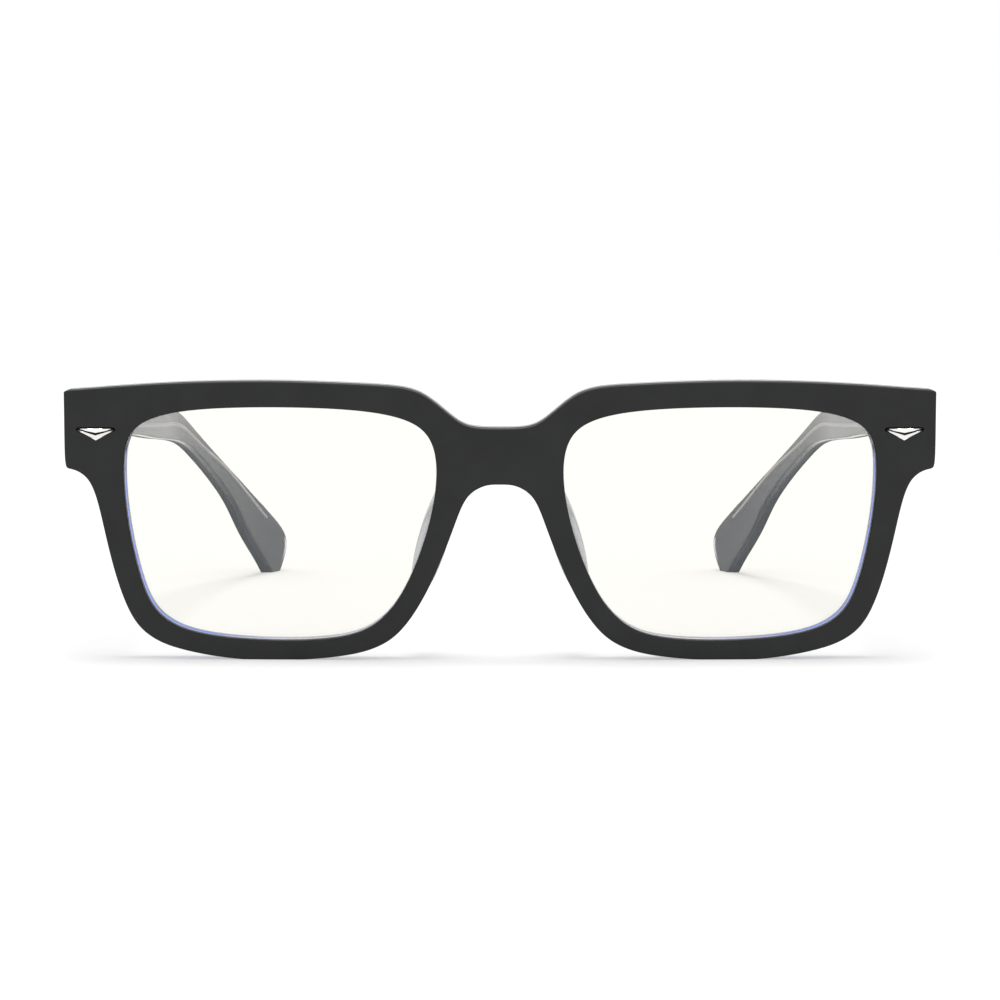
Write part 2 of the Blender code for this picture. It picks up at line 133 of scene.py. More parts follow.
@dataclass(frozen=True)
class Spline:
    """A uniform cubic B-spline: every point is a weighted mean of the four controls round it.

    Args:
        controls: control points, one row each.
        closed: whether the last control is followed by the first.
    """

    controls: np.ndarray
    closed: bool = True

    def at(self, place: np.ndarray, order: int = 0) -> np.ndarray:
        """Points, or their first or second derivatives, at places counted in control points.

        Args:
            place: where on the curve; 3.0 is nearest control 3.
            order: 0 for points, 1 or 2 for derivatives.

        Returns:
            One row for each place.
        """
        start = np.floor(place).astype(int)
        t = place - start
        weights = {
            0: ((1 - t) ** 3, 3 * t**3 - 6 * t**2 + 4, -3 * t**3 + 3 * t**2 + 3 * t + 1, t**3),
            1: (-3 * (1 - t) ** 2, 9 * t**2 - 12 * t, -9 * t**2 + 6 * t + 3, 3 * t**2),
            2: (6 * (1 - t), 18 * t - 12, -18 * t + 6, 6 * t),
        }[order]
        index = start[:, None] + np.arange(-1, 3)
        count = len(self.controls)
        index = index % count if self.closed else np.clip(index, 0, count - 1)
        return np.einsum("nk,nkd->nd", np.stack(weights, -1) / 6, self.controls[index])

    def outward(self, place: np.ndarray) -> np.ndarray:
        """Unit normals that point out of a clockwise flat loop: the tangent turned left."""
        along = self.at(place, 1)
        along /= np.linalg.norm(along, axis=1, keepdims=True)
        return np.stack([-along[:, 1], along[:, 0]], -1)

    def turn_radius(self, place: np.ndarray) -> np.ndarray:
        """Signed radius of the turn, positive where a clockwise loop bulges outwards."""
        first, second = self.at(place, 1), self.at(place, 2)
        cross = first[:, 0] * second[:, 1] - first[:, 1] * second[:, 0]
        speed = np.linalg.norm(first, axis=1)
        return -(speed**3) / np.where(np.abs(cross) < STRAIGHT, STRAIGHT, cross)


def smoothed(values: np.ndarray, reach: int) -> np.ndarray:
    """Lowest value nearby, then the mean nearby, round a closed row of values."""
    shifts = range(-reach, reach + 1)
    lowest = np.min([np.roll(values, shift) for shift in shifts], axis=0)
    return np.mean([np.roll(lowest, shift) for shift in shifts], axis=0)


@dataclass(frozen=True)
class FrontSpace:
    """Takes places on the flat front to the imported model's frame, in metres.

    The front is wrapped round an upright cylinder and then leaned forwards at the top.
    """

    wrap_radius: float = 1200.0
    lean: float = math.radians(4.0)
    origin_back: float = 0.0

    def leaned(self, across: np.ndarray, back: np.ndarray, height: np.ndarray) -> np.ndarray:
        """Turns places about the lower front edge by the lean: a plain rotation about X."""
        c, s = math.cos(self.lean), math.sin(self.lean)
        across, back, height = np.broadcast_arrays(across, back, height)
        return np.stack([across, back * c - height * s + self.origin_back, height * c + back * s], -1) * MM

    def place(self, flat: np.ndarray) -> np.ndarray:
        """Wraps (across, depth, height) rows: across is an arc of the cylinder, depth runs inwards.

        What would reach below the table is sanded flat on it.
        """
        across, depth, height = np.moveaxis(flat, -1, 0)
        angle, radius = across / self.wrap_radius, self.wrap_radius - depth
        placed = self.leaned(radius * np.sin(angle), self.wrap_radius - radius * np.cos(angle), height)
        placed[..., 2] = np.maximum(placed[..., 2], 0.0)
        return placed

    def back_of(self, across: float, depth: float) -> float:
        """How far back the sheet stands at a straight distance from the middle, before the lean."""
        radius = self.wrap_radius - depth
        return self.wrap_radius - radius * math.cos(math.asin(across / radius))


@dataclass(frozen=True)
class TempleSpace:
    """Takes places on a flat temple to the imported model's frame, in metres.

    The temple runs straight back, tapers in, and curves in behind the ear by the square of the
    distance past its start. Its thickness shrinks evenly along the length.
    """

    inner: float = 68.6
    taper: float = 0.06
    ear_start: float = 75.0
    ear_curve: float = 0.00276
    thin_from: float = 10.0
    thin_to: float = 105.0
    thin_down: float = 0.28
    origin_back: float = 0.0

    def place(self, side: Side, back: np.ndarray, out: np.ndarray, height: np.ndarray) -> np.ndarray:
        """Bends (back, out from the inner face, height); nothing reaches below the table."""
        past = np.maximum(back - self.ear_start, 0.0)
        inner = self.inner - self.taper * back - self.ear_curve * past**2
        along = np.clip((back - self.thin_from) / (self.thin_to - self.thin_from), 0.0, 1.0)
        across = side.value * (inner + out * (1 - self.thin_down * along))
        across, back, height = np.broadcast_arrays(across, back + self.origin_back, np.maximum(height, 0.0))
        return np.stack([across, back, height], -1) * MM


@dataclass
class Skin:
    """Grids of points gathered into one closed mesh, with a mark for each point.

    The mark is a number from 0 to 1 that the finishes read, such as how near a polished edge is, where blue
    is painted as a reflection of the lens coating, and where shade is painted into a groove.
    """

    points: list[np.ndarray] = field(default_factory=list)
    marks: list[np.ndarray] = field(default_factory=list)
    faces: list[np.ndarray] = field(default_factory=list)
    count: int = 0

    def grid(self, points: np.ndarray, mark: np.ndarray | float = 0.0, close_rows: bool = False,
             close_columns: bool = False) -> None:
        """Adds a grid and the quads between its neighbouring points.

        Args:
            points: rows, columns, 3.
            mark: a number for each point, or for all.
            close_rows: joins the last row to the first.
            close_columns: joins the last column to the first.
        """
        rows, columns = points.shape[:2]
        index = self.count + np.arange(rows * columns).reshape(rows, columns)
        down = np.vstack([index, index[:1]]) if close_rows else index
        both = np.hstack([down, down[:, :1]]) if close_columns else down
        quads = np.stack([both[:-1, :-1], both[:-1, 1:], both[1:, 1:], both[1:, :-1]], -1)
        self.faces.append(quads.reshape(-1, 4))
        self.points.append(points.reshape(-1, 3))
        self.marks.append(np.broadcast_to(mark, (rows, columns)).ravel())
        self.count += rows * columns

    def cap(self, loop: np.ndarray, mark: float = 0.0) -> None:
        """Closes a loop with a fan of triangles to its middle."""
        size = len(loop)
        index = self.count + np.arange(size)
        middle = np.full(size, self.count + size)
        self.faces.append(np.stack([index, np.roll(index, -1), middle], -1))
        self.points.append(np.vstack([loop, loop.mean(0)]))
        self.marks.append(np.full(size + 1, mark))
        self.count += size + 1

    def build(self, name: str, sharp: float = SHARP) -> bpy.types.Object:
        """Makes the mesh: seams merged, faces pointing out, smooth but for sharp corners.

        Args:
            name: the piece's name.
            sharp: degrees past which a corner stays sharp.

        Returns:
            The piece, at the origin.
        """
        mesh = bpy.data.meshes.new(name)
        faces = [face for group in self.faces for face in group.tolist()]
        mesh.from_pydata(np.vstack(self.points).tolist(), [], faces)
        mark = mesh.attributes.new("mark", "FLOAT", "POINT")
        mark.data.foreach_set("value", np.hstack(self.marks).astype(np.float32))
        solid = bmesh.new()
        solid.from_mesh(mesh)
        bmesh.ops.remove_doubles(solid, verts=solid.verts, dist=MERGE)
        bmesh.ops.dissolve_degenerate(solid, edges=solid.edges, dist=MERGE)
        bmesh.ops.recalc_face_normals(solid, faces=solid.faces)
        if solid.calc_volume(signed=True) < 0:
            bmesh.ops.reverse_faces(solid, faces=solid.faces)
        solid.to_mesh(mesh)
        solid.free()
        mesh.shade_smooth()
        mesh.set_sharp_from_angle(angle=math.radians(sharp))
        piece = bpy.data.objects.new(name, mesh)
        bpy.context.scene.collection.objects.link(piece)
        return piece


def carve(piece: bpy.types.Object, tool: bpy.types.Object) -> None:
    """Cuts a tool's shape out of a piece for good, and removes the tool."""
    cut = piece.modifiers.new("pocket", "BOOLEAN")
    cut.operation = "DIFFERENCE"
    cut.solver = "EXACT"
    cut.object = tool
    graph = bpy.context.evaluated_depsgraph_get()
    mesh = bpy.data.meshes.new_from_object(piece.evaluated_get(graph))
    piece.modifiers.clear()
    mesh.set_sharp_from_angle(angle=math.radians(SHARP))
    piece.data = mesh
    bpy.data.objects.remove(tool, do_unlink=True)


def block(low: tuple[float, float, float], high: tuple[float, float, float], place) -> bpy.types.Object:
    """A box between two corners as a tool for carving.

    Args:
        low: one corner in the flat layout.
        high: the opposite corner.
        place: takes rows of flat places to metres.

    Returns:
        The box.
    """
    spots = np.array([low, high], float)
    x, y, z = (spots[:, k] for k in range(3))
    corners = np.array([(x[a], y[b], z[c]) for a in (0, 1) for b in (0, 1) for c in (0, 1)])
    skin = Skin()
    order = np.array([0, 1, 3, 2, 4, 5, 7, 6]).reshape(2, 4)
    loops = place(corners[order.ravel()]).reshape(2, 4, 3)
    skin.grid(loops, close_columns=True)
    skin.cap(loops[0])
    skin.cap(loops[1])
    return skin.build("tool")


# ---------------------------------------------------------------- finishes


@dataclass
class Shader:
    """A material's nodes, made through short calls."""

    name: str

    def __post_init__(self) -> None:
        """Starts the material with its Principled shader."""
        self.material = bpy.data.materials.new(self.name)
        self.material.use_nodes = True
        self.tree = self.material.node_tree
        self.main = self.tree.nodes["Principled BSDF"]
        self.spot = self.tree.nodes.new("ShaderNodeTexCoord").outputs["Object"]

    def set(self, **values: float | tuple) -> None:
        """Sets the shader's own sockets; underscores in a name are spaces."""
        for name, value in values.items():
            self.main.inputs[name.replace("_", " ")].default_value = value

    def node(self, kind: str, **values: object) -> bpy.types.Node:
        """A node with its settings, or socket values where the name is a socket's."""
        made = self.tree.nodes.new(kind)
        for name, value in values.items():
            plain = name.replace("_", " ")
            if plain in made.inputs:
                made.inputs[plain].default_value = value
            else:
                setattr(made, name, value)
        return made

    def link(self, source: bpy.types.NodeSocket, target: bpy.types.NodeSocket) -> None:
        """Joins two sockets."""
        self.tree.links.new(source, target)

    def noise(self, scale: float, detail: float = 4.0, stretch: tuple[float, float, float] = (1, 1, 1)):
        """Fractal noise over the piece; stretch above 1 packs it tighter along that axis."""
        turn = self.node("ShaderNodeMapping", Scale=stretch)
        self.link(self.spot, turn.inputs["Vector"])
        made = self.node("ShaderNodeTexNoise", Scale=scale, Detail=detail)
        self.link(turn.outputs["Vector"], made.inputs["Vector"])
        return made.outputs["Fac"]

    def spread(self, value: bpy.types.NodeSocket, low: float, high: float,
               of: tuple[float, float] = (0.3, 0.7)) -> bpy.types.NodeSocket:
        """Takes a value between two ends to a new low and high."""
        made = self.node("ShaderNodeMapRange", From_Min=of[0], From_Max=of[1], To_Min=low, To_Max=high)
        self.link(value, made.inputs["Value"])
        return made.outputs["Result"]

    def mix(self, share: bpy.types.NodeSocket, first: tuple, second: tuple) -> bpy.types.NodeSocket:
        """Mixes two colours, or a colour socket and a colour, by a share from 0 to 1."""
        made = self.node("ShaderNodeMix", data_type="RGBA")
        self.link(share, made.inputs["Factor"])
        for value, socket in ((first, made.inputs[6]), (second, made.inputs[7])):
            if isinstance(value, bpy.types.NodeSocket):
                self.link(value, socket)
            else:
                socket.default_value = (*value, 1.0)
        return made.outputs[2]

    def mark(self) -> bpy.types.NodeSocket:
        """The piece's own mark, from 0 to 1."""
        return self.node("ShaderNodeAttribute", attribute_name="mark").outputs["Fac"]

    def sum(self, first: bpy.types.NodeSocket, second: bpy.types.NodeSocket, share: float):
        """The first value plus a share of the second."""
        made = self.node("ShaderNodeMath", operation="MULTIPLY_ADD")
        made.inputs[1].default_value = share
        self.link(second, made.inputs[0])
        self.link(first, made.inputs[2])
        return made.outputs[0]

    def bump(self, height: bpy.types.NodeSocket, strength: float, distance: float) -> None:
        """Small relief on the surface, its distance in metres."""
        made = self.node("ShaderNodeBump", Strength=strength, Distance=distance)
        self.link(height, made.inputs["Height"])
        self.link(made.outputs["Normal"], self.main.inputs["Normal"])


@dataclass(frozen=True)
class BlackAcetate:
    """Black acetate sheet, tumbled satin: faint mottling, hairlines, and duller edges."""

    colour: Triple = (0.0112, 0.0115, 0.0119)
    lighter: Triple = (0.0160, 0.0165, 0.0170)
    specular: float = 0.26
    mottling: float = 160.0  # noise cells per metre
    hairlines: float = 900.0
    hairline_stretch: Triple = (1.0, 1.0, 9.0)
    grain: float = 2600.0
    grain_share: float = 0.6
    rough: tuple[float, float] = (0.30, 0.40)
    rough_hairlines: float = 0.06
    rough_edges: float = 0.34
    relief: float = 0.05

    def make(self) -> bpy.types.Material:
        """Builds the material; the mark is 1 on the duller edges."""
        shader = Shader("black_acetate")
        shader.set(IOR=ACETATE_IOR, Specular_IOR_Level=self.specular)
        cloud = shader.noise(self.mottling, 5.0)
        shader.link(shader.mix(shader.spread(cloud, 0, 1), self.colour, self.lighter),
                    shader.main.inputs["Base Color"])
        hairline = shader.noise(self.hairlines, 3.0, self.hairline_stretch)
        rough = shader.spread(cloud, *self.rough)
        rough = shader.sum(rough, hairline, self.rough_hairlines)
        rough = shader.sum(rough, shader.mark(), self.rough_edges)
        shader.link(rough, shader.main.inputs["Roughness"])
        height = shader.sum(hairline, shader.noise(self.grain, 2.0), self.grain_share)
        shader.bump(height, self.relief, RELIEF)
        return shader.material


@dataclass(frozen=True)
class ClearAcetate:
    """Clear acetate sheet with a faint lilac cast, a slight haze and tumbling marks."""

    name: str = "clear_acetate"
    colour: Triple = (0.93, 0.93, 0.965)
    deeper: Triple = (0.86, 0.87, 0.93)
    # painted reflection: blue put into the base colour where the mark is 1, standing for the lens coating's
    # blue on the rim
    glow: Triple = (0.04, 0.13, 1.0)
    rough: tuple[float, float] = (0.05, 0.11)
    relief: float = 0.012
    clouding: float = 120.0  # noise cells per metre
    hairlines: float = 420.0
    hairline_stretch: Triple = (1.0, 0.4, 3.0)

    def make(self) -> bpy.types.Material:
        """Builds the material; the mark paints blue onto the rim, a painted reflection of the coated lens.
        """
        shader = Shader(self.name)
        shader.set(IOR=ACETATE_IOR, Transmission_Weight=1.0)
        cloud = shader.noise(self.clouding, 4.0)
        tone = shader.mix(shader.spread(cloud, 0, 1), self.colour, self.deeper)
        # mixes in the painted blue reflection where the mark is set
        shader.link(shader.mix(shader.mark(), tone, self.glow), shader.main.inputs["Base Color"])
        hairline = shader.noise(self.hairlines, 2.0, self.hairline_stretch)
        shader.link(shader.spread(hairline, *self.rough), shader.main.inputs["Roughness"])
        shader.bump(hairline, self.relief, RELIEF)
        return shader.material


@dataclass(frozen=True)
class CoatedLens:
    """Blue light lens: very pale yellow, with a thin coating; blue painted on the edge ring stands for the
    coating's reflection.
    """

    colour: Triple = (0.915, 0.905, 0.858)
    # painted reflection: blue base colour on the edge ring, standing for the coating's reflection
    edge: Triple = (0.45, 0.60, 1.0)
    coating: Triple = (0.80, 0.88, 1.0)
    wiping: float = 70.0  # noise cells per metre
    wiping_stretch: Triple = (1.0, 1.0, 2.5)
    rough: tuple[float, float] = (0.0, 0.02)
    relief: float = 0.02

    def make(self) -> bpy.types.Material:
        """Builds the material; faint wiping marks change the gloss."""
        shader = Shader("lens")
        shader.set(IOR=LENS_IOR, Transmission_Weight=1.0, Specular_Tint=(*self.coating, 1.0))
        # the mark mixes the painted blue reflection into the edge ring
        shader.link(shader.mix(shader.mark(), self.colour, self.edge), shader.main.inputs["Base Color"])
        wiping = shader.noise(self.wiping, 3.0, self.wiping_stretch)
        shader.link(shader.spread(wiping, *self.rough), shader.main.inputs["Roughness"])
        shader.bump(wiping, self.relief, RELIEF / 2)
        return shader.material


@dataclass(frozen=True)
class Metal:
    """A bare metal with a drawn grain and small differences of polish."""

    name: str
    colour: Triple
    darker: Triple
    rough: tuple[float, float]
    grain: Triple = (1.0, 1.0, 1.0)  # how the drawn lines are packed along each axis
    relief: float = 0.1
    # painted shade for the bottoms of grooves, mixed in by the mark
    painted_shade: Triple = (0.012, 0.012, 0.012)
    clouding: float = 700.0  # noise cells per metre
    drawing: float = 2500.0

    def make(self) -> bpy.types.Material:
        """Builds the material; the mark paints shade into the bottoms of grooves."""
        shader = Shader(self.name)
        shader.set(Metallic=1.0)
        cloud = shader.noise(self.clouding, 4.0)
        tone = shader.mix(shader.spread(cloud, 0, 1), self.colour, self.darker)
        # mixes painted shade in where the mark is set
        shader.link(shader.mix(shader.mark(), tone, self.painted_shade), shader.main.inputs["Base Color"])
        drawn = shader.noise(self.drawing, 3.0, self.grain)
        shader.link(shader.spread(drawn, *self.rough), shader.main.inputs["Roughness"])
        shader.bump(drawn, self.relief, RELIEF)
        return shader.material


@dataclass
class Finishes:
    """Every finish, made once, by name; most are named after their slot in the record."""

    made: dict[str, bpy.types.Material] = field(default_factory=dict)

    def __post_init__(self) -> None:
        """Makes the finishes."""
        lilac = ClearAcetate("lilac_acetate", (0.74, 0.72, 0.86), (0.69, 0.67, 0.82), relief=0.008)
        hazy = ClearAcetate("hazy_acetate", (0.46, 0.47, 0.50), (0.41, 0.42, 0.46), rough=(0.12, 0.24))
        silver = Metal("polished_silver", (0.95, 0.94, 0.92), (0.88, 0.86, 0.83), (0.10, 0.20),
                       grain=(1.0, 1.0, 5.0), relief=0.05)
        wire = Metal("wire", (0.84, 0.78, 0.70), (0.74, 0.67, 0.59), (0.30, 0.45), grain=(1.0, 0.2, 1.0))
        steel = Metal("hinge_steel", (0.66, 0.65, 0.63), (0.48, 0.47, 0.46), (0.20, 0.38),
                      grain=(1.0, 6.0, 1.0), relief=0.2)
        kinds = {"black_acetate": BlackAcetate(), "clear_acetate": ClearAcetate(), "lens": CoatedLens()}
        kinds |= {kind.name: kind for kind in (lilac, hazy, silver, wire, steel)}
        self.made = {name: kind.make() for name, kind in kinds.items()}

    def dress(self, piece: bpy.types.Object, slot: str, body: str, nodes: tuple[str, ...],
              finish: str = "") -> None:
        """Gives a new piece its finish, its body and the nodes it stands for.

        Args:
            piece: the piece.
            slot: its slot in the record.
            body: the body it moves with.
            nodes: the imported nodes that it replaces.
            finish: the finish, where it isn't the slot's own.
        """
        piece.data.materials.clear()
        piece.data.materials.append(self.made[finish or slot])
        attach(piece, body)
        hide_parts(*nodes)
        log.info("%s: %d points on %s", piece.name, len(piece.data.vertices), body)

    def repaint(self, node: str, slot: str) -> None:
        """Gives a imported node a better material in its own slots."""
        for holder in frame["nodes"][node].material_slots:
            holder.material = self.made[slot]
        log.info("%s: repainted", node)


# ---------------------------------------------------------------- the front


def quarter(steps: int = 7) -> tuple[np.ndarray, np.ndarray]:
    """One minus the sine and one minus the cosine over a quarter turn."""
    angle = np.linspace(0, math.pi / 2, steps)
    return 1 - np.sin(angle), 1 - np.cos(angle)


@dataclass(frozen=True)
class Edge:
    """How a sheet's edge runs from its front face to its back face.

    Each row is (inset in edge radii, inset in mm, depth in edge radii, depth in mm, mark).
    """

    rows: np.ndarray
    radius: float

    @staticmethod
    def rounded_front(radius: float, after: list[tuple[float, float, float]]) -> "Edge":
        """Round at the front, then through (inset, depth, mark) rows in mm."""
        inset, depth = quarter()
        arc = np.stack([inset, 0 * inset, depth, 0 * depth, 1 - np.abs(np.linspace(-1, 1, len(inset)))], -1)
        rest = np.array([(0.0, inset, 0.0, depth, mark) for inset, depth, mark in after])
        return Edge(np.vstack([arc, rest]), radius)

    @staticmethod
    def rounded_back(radius: float, thick: float, before: list[tuple[float, float, float]]) -> "Edge":
        """Through (inset, depth, mark) rows in mm, then round at the back."""
        depth, inset = quarter()
        arc = np.stack([inset, 0 * inset, -depth, thick + 0 * depth, 0 * depth], -1)
        arc[0, 4] = before[-1][2]
        rest = np.array([(0.0, inset, 0.0, depth, mark) for inset, depth, mark in before])
        return Edge(np.vstack([rest, arc]), radius)

    def sweep(self, line: Spline, places: np.ndarray, into: int) -> tuple[np.ndarray, np.ndarray]:
        """Carries the edge along an outline.

        The edge radius shrinks where the outline turns tighter than it, so that the inset never
        crosses itself.

        Args:
            line: the flat outline.
            places: where on it, in control points.
            into: 1 where the material lies outside the outline, -1 where inside.

        Returns:
            Flat places (across, depth, height) in a grid, and their marks.
        """
        points, outward = line.at(places), line.outward(places) * into
        turn = line.turn_radius(places) * -into
        limit = np.where(turn > 0, EDGE_TO_TURN * turn, self.radius)
        radius = smoothed(np.minimum(limit, self.radius), 3)[:, None]
        inset = radius * self.rows[:, 0] + self.rows[:, 1]
        depth = radius * self.rows[:, 2] + self.rows[:, 3]
        across = points[:, :1] + outward[:, :1] * inset
        height = points[:, 1:] + outward[:, 1:] * inset
        return np.stack([across, depth, height], -1), np.broadcast_to(self.rows[:, 4], depth.shape)


@dataclass
class Front:
    """The laminated front with its lenses, nose pads and plaques."""

    space: FrontSpace
    finishes: Finishes
    face_thick: float = 2.15
    depth: float = FRONT_DEPTH
    face_round: float = 0.28
    face_lens_round: float = 0.25
    backing_round: float = 0.4
    backing_lens_round: float = 0.45
    seam_row: float = 0.15  # the edge has a row of points this far from the seam
    groove_front: float = 1.15
    groove_back: float = 3.05
    groove_deep: float = 0.62
    steps: int = 14  # points between neighbouring controls
    bridge_steps: int = 10
    painted_reflection_arc: tuple[float, float] = (4.9, 9.9)  # where blue is painted on the opening as a reflection of the lens coating
    painted_reflection_fade: float = 0.8
    across_rows: tuple[float, ...] = (0, 0.015, 0.06, 0.16, 0.3, 0.5, 0.7, 0.84, 0.94, 0.985, 1)
    lens_tuck: float = 0.5
    lens_front: float = 1.2
    lens_thick: float = 1.8
    lens_dome: float = 0.5
    lens_rings: int = 22
    painted_blue_rim_share: float = 0.035  # the share of the lens's area, at its edge, where blue is painted as a reflection of its coating
    pad_half: tuple[float, float, float] = (1.9, 5.0, 11.0)
    pad_centre: tuple[float, float, float] = (11.2, 5.5, 20.2)
    pad_tilt: float = math.radians(16.5)
    pad_flare: float = math.radians(20.0)
    pad_rings: int = 49
    pad_round: int = 64
    root_wider: float = 0.05  # the pad's root is wider by this share
    root_fade: float = 0.5
    plaque_across: float = 67.4
    plaque_half: float = 3.05
    plaque_top: float = 39.0
    plaque_point: float = 37.1
    plaque_steps: int = 61
    plaque_corner: float = 0.28
    plaque_corner_power: int = 14
    plaque_sag: float = 0.12
    pocket_spare: float = 0.18
    pocket_spare_ends: float = 1.6  # the pocket's sharp ends run on this many spares
    pocket_deep: float = 0.75
    tool_stands: float = 1.0  # carving tools stand out of the surface by this much
    hinge_height: float = HINGE_HEIGHT
    pin_across: float = PIN_ACROSS
    leaf_half: float = 2.3
    leaf_half_tall: float = 2.8
    leaf_thick: float = 0.8
    leaf_spare: float = 0.1

    def __post_init__(self) -> None:
        """Lays out the outlines and the places along them."""
        half = list(FRONT_HALF)
        other = [(-across, height) for across, height in reversed(half[1:-1])]
        self.outline = Spline(np.array(half + other))
        self.opening = Spline(np.array(LENS_OPENING))
        self.spans = len(half) - 1
        self.outer_places = np.linspace(0, self.spans, self.spans * self.steps + 1)
        bridge = np.linspace(self.spans, self.spans + 1, self.bridge_steps + 1)[1:-1]
        outer, inner = np.array(FACING).T
        self.inner_places = np.interp(np.hstack([self.outer_places, bridge]), outer, inner)

    def sheet(self, name: str, outer: Edge, inner: Edge) -> bpy.types.Object:
        """One laminated sheet of the front.

        The flat faces are ruled surfaces: straight lines from the outline to the lens opening. The
        edges are their profiles carried along both. One half is worked out, and the other mirrors it.

        Args:
            name: the piece's name.
            outer: the edge along the outline.
            inner: the edge along the lens opening.

        Returns:
            The piece.
        """
        rim, rim_mark = outer.sweep(self.outline, self.outer_places, -1)
        hole, hole_mark = inner.sweep(self.opening, self.inner_places, 1)
        # Only along this arc does the lens opening keep its mark: on the clear backing it paints blue as a
        # reflection of the lens coating, and on the black face it makes the edge duller.
        past = [np.clip((self.inner_places - place) / self.painted_reflection_fade, 0, 1) for place in self.painted_reflection_arc]
        hole_mark = hole_mark * (past[0] - past[1])[:, None]
        rim[[0, -1], :, 0] = 0.0
        share = np.array(self.across_rows)[:, None, None]
        skin = Skin()
        for side in Side:
            flip = np.array([side.value, 1, 1])
            skin.grid(self.space.place(rim * flip), rim_mark)
            skin.grid(self.space.place(hole * flip), hole_mark, close_rows=True)
            for column in (0, -1):
                edge = rim[:, column]
                middle = np.linspace(edge[-1], edge[0], self.bridge_steps + 1)[1:-1]
                far = np.vstack([edge, middle])
                face = far * (1 - share) + hole[:, column] * share
                skin.grid(self.space.place(face * flip), close_columns=True)
        return skin.build(name)

    def build_face(self) -> None:
        """The black sheet, with a pocket for each plaque."""
        back = self.face_thick + SKIN
        outer = Edge.rounded_front(self.face_round, [(0.0, back - self.seam_row, 1.0), (0.0, back, 1.0)])
        groove = [(0.0, self.groove_front, 0.0), (self.groove_deep, self.groove_front, 0.0),
                  (self.groove_deep, back, 0.0)]
        face = self.sheet("black_face", outer, Edge.rounded_front(self.face_lens_round, groove))
        down, up = -self.pocket_deep, self.tool_stands
        pocket = [(0, down, 0), (0, up, 0), (1, up, 0), (1, down, 0)]
        for side in Side:
            carve(face, self.plaque_solid("tool", side, self.pocket_spare, pocket))
        self.finishes.dress(face, "black_acetate", "front", ("front_face",))

    def build_backing(self) -> None:
        """The clear sheet, with a pocket for each hinge leaf."""
        front = self.face_thick - SKIN
        seam = [(0.0, front, 0.0), (0.0, front + self.seam_row, 0.0)]
        # The groove's back row has mark 1: there the backing's inner wall gets the painted blue reflection.
        groove = [(self.groove_deep, front, 0.0), (self.groove_deep, self.groove_back, 0.0),
                  (0.0, self.groove_back, 1.0)]
        outer = Edge.rounded_back(self.backing_round, self.depth, seam)
        inner = Edge.rounded_back(self.backing_lens_round, self.depth, groove)
        backing = self.sheet("clear_backing", outer, inner)
        wide, tall = self.leaf_half + self.leaf_spare, self.leaf_half_tall + self.leaf_spare
        floor, top = self.depth - self.leaf_thick - self.leaf_spare, self.depth + self.tool_stands
        for side in Side:
            pin = side.value * self.pin_across
            low = (pin - wide, floor, self.hinge_height - tall)
            high = (pin + wide, top, self.hinge_height + tall)
            carve(backing, block(low, high, self.space.place))
        self.finishes.dress(backing, "clear_acetate", "front", ("front_backing",))

    def build_lens(self, side: Side) -> None:
        """One lens: rings from its middle to its edge, domed forwards by the square of the radius."""
        places = np.arange(len(LENS_OPENING) * self.steps) / self.steps
        loop = self.opening.at(places) + self.opening.outward(places) * self.lens_tuck
        middle = loop.mean(0)
        ring = np.sqrt(np.linspace(0, 1, self.lens_rings))[:, None]
        depth = self.lens_front - self.lens_dome * (1 - ring**2)
        rows = []
        for share, back in ((ring, depth), (ring[::-1], depth[::-1] + self.lens_thick)):
            flat = middle + (loop - middle) * share[..., None]
            across, height = np.moveaxis(flat, -1, 0)
            rows.append(np.stack([side.value * across, np.broadcast_to(back, across.shape), height], -1))
        flat = np.vstack(rows)
        reach = np.vstack([ring, ring[::-1]]) ** 2
        skin = Skin()
        # mark 1 on the edge ring, where the blue reflection of the coating is painted
        mark = np.clip((reach - (1 - self.painted_blue_rim_share)) / self.painted_blue_rim_share, 0, 1)
        skin.grid(self.space.place(flat), np.broadcast_to(mark, flat.shape[:2]), close_columns=True)
        lens = skin.build(f"coated_lens_{side.label}")
        self.finishes.dress(lens, "lens", "front", (f"lens_{side.label}",))

    def build_nose_pad(self, side: Side) -> None:
        """One pad: a long ellipsoid, turned to the nose's slope and cut flat on the backing.

        Its root widens a little towards the backing, by an exponential of the distance from it.
        """
        tilt = Matrix.Rotation(-side.value * self.pad_tilt, 3, "Y")
        turn = tilt @ Matrix.Rotation(-side.value * self.pad_flare, 3, "Z")
        level = np.linspace(-math.pi / 2, math.pi / 2, self.pad_rings)[:, None]
        angle = np.linspace(0, 2 * math.pi, self.pad_round, endpoint=False)
        ball = [np.cos(level) * np.cos(angle), np.cos(level) * np.sin(angle), np.sin(level) + 0 * angle]
        spots = (np.stack(ball, -1) * self.pad_half) @ np.array(turn).T
        spots = spots + np.array([side.value * self.pad_centre[0], *self.pad_centre[1:]])
        base = self.depth + SKIN + spots[..., 0] ** 2 / (2 * self.space.wrap_radius)
        above = np.maximum(spots[..., 1] - base, 0.0)
        climb = spots[..., 2] - self.pad_centre[2]
        root = side.value * (self.pad_centre[0] - climb * math.tan(self.pad_tilt))
        wider = 1 + self.root_wider * np.exp(-above / self.root_fade)
        spots[..., 0] = root + (spots[..., 0] - root) * wider
        spots[..., 1] = base + above
        skin = Skin()
        skin.grid(self.space.leaned(*np.moveaxis(spots, -1, 0)), close_columns=True)
        pad = skin.build(f"clear_nose_pad_{side.label}", PAD_SHARP)
        self.finishes.dress(pad, "clear_acetate", "front", (f"nose_pad_{side.label}",), "hazy_acetate")

